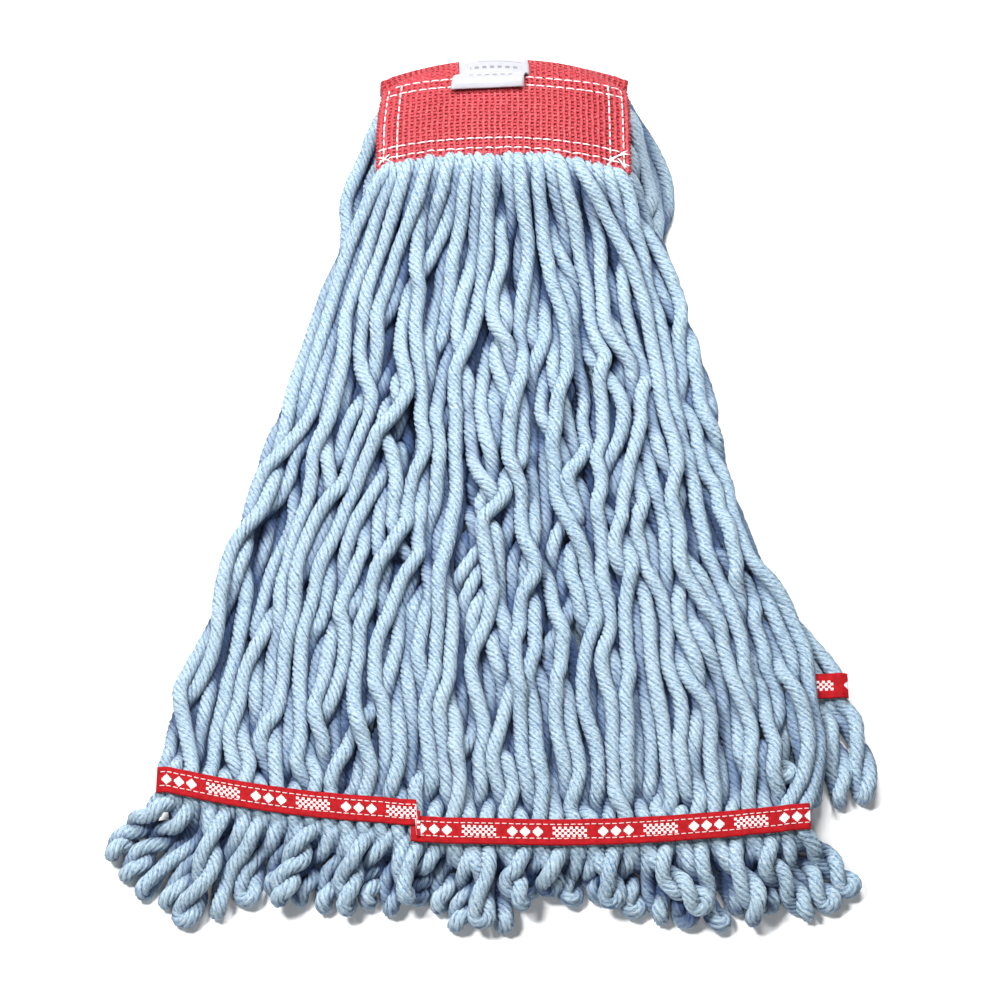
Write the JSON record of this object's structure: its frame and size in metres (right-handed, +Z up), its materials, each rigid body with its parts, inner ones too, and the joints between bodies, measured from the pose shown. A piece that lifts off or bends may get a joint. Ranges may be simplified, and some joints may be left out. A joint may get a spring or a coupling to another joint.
{
  "type": "string mop head",
  "caption": "Looped-end string mop head, lying folded: blue twisted yarn sewn into a red mesh headband, with red tail tapes and a white care label.",
  "frame": {"origin": "middle of the footprint of the whole head, on the surface that it lies on", "axes": "+X across the headband, +Y from the fringe towards the headband, +Z up"},
  "size_m": [0.3762, 0.5111, 0.062],
  "materials": {
    "yarn": "matte",
    "band_mesh": "satin",
    "tape": "matte",
    "thread": "satin",
    "label": "satin"
  },
  "bodies": {
    "back_half": {"headband_back_core": "yarn", "headband_back_lining": "band_mesh", "headband_back_panel": "band_mesh"},
    "front_half": {"care_label_base": "label", "headband_fold_core": "yarn", "headband_fold_lining": "band_mesh", "headband_fold_panel": "band_mesh", "headband_front_core": "yarn", "headband_front_lining": "band_mesh", "headband_front_panel": "band_mesh", "seam_hem_inner": "thread", "seam_hem_outer": "thread", "seam_left_inner": "thread", "seam_left_outer": "thread", "seam_right_inner": "thread", "seam_right_outer": "thread", "seam_top_inner": "thread", "seam_top_outer": "thread"},
    "front_curtain": {"front_loops_1": "yarn", "front_loops_2": "yarn", "front_loops_3": "yarn", "front_loops_4": "yarn", "front_loops_5": "yarn", "front_loops_6": "yarn", "front_tape_inner": "tape", "front_tape_outer": "tape", "front_tape_seam_far": "thread", "front_tape_seam_near": "thread", "front_yarns_1": "yarn", "front_yarns_2": "yarn", "front_yarns_3": "yarn", "front_yarns_4": "yarn", "front_yarns_5": "yarn", "front_yarns_6": "yarn"},
    "back_curtain": {"back_loops_1": "yarn", "back_loops_2": "yarn", "back_loops_3": "yarn", "back_loops_4": "yarn", "back_loops_5": "yarn", "back_loops_6": "yarn", "back_tape_inner": "tape", "back_tape_outer": "tape", "back_tape_seam_far": "thread", "back_tape_seam_near": "thread", "back_yarns_1": "yarn", "back_yarns_2": "yarn", "back_yarns_3": "yarn", "back_yarns_4": "yarn", "back_yarns_5": "yarn", "back_yarns_6": "yarn"},
    "care_label": {"care_label_flap": "label"}
  },
  "joints": [
    {"name": "headband_fold", "type": "hinge", "parent": "back_half", "child": "front_half", "pos_m": [0.007, 0.24375, 0.04875], "axis": [-1, 0, 0], "range_deg": [0, 90], "deforming": ["headband_fold_panel", "headband_fold_core", "headband_fold_lining", "care_label_base"]},
    {"name": "front_curtain_lift", "type": "hinge", "parent": "front_half", "child": "front_curtain", "pos_m": [0.007, 0.16, 0.053], "axis": [-1, 0, 0], "range_deg": [0, 135]},
    {"name": "back_curtain_drop", "type": "hinge", "parent": "back_half", "child": "back_curtain", "pos_m": [0.007, 0.249, 0.0059], "axis": [1, 0, 0], "range_deg": [0, 110]},
    {"name": "care_label_flip", "type": "hinge", "parent": "front_half", "child": "care_label", "pos_m": [0.0015, 0.231, 0.0615], "axis": [-1, 0, 0], "range_deg": [0, 130]}
  ]
}
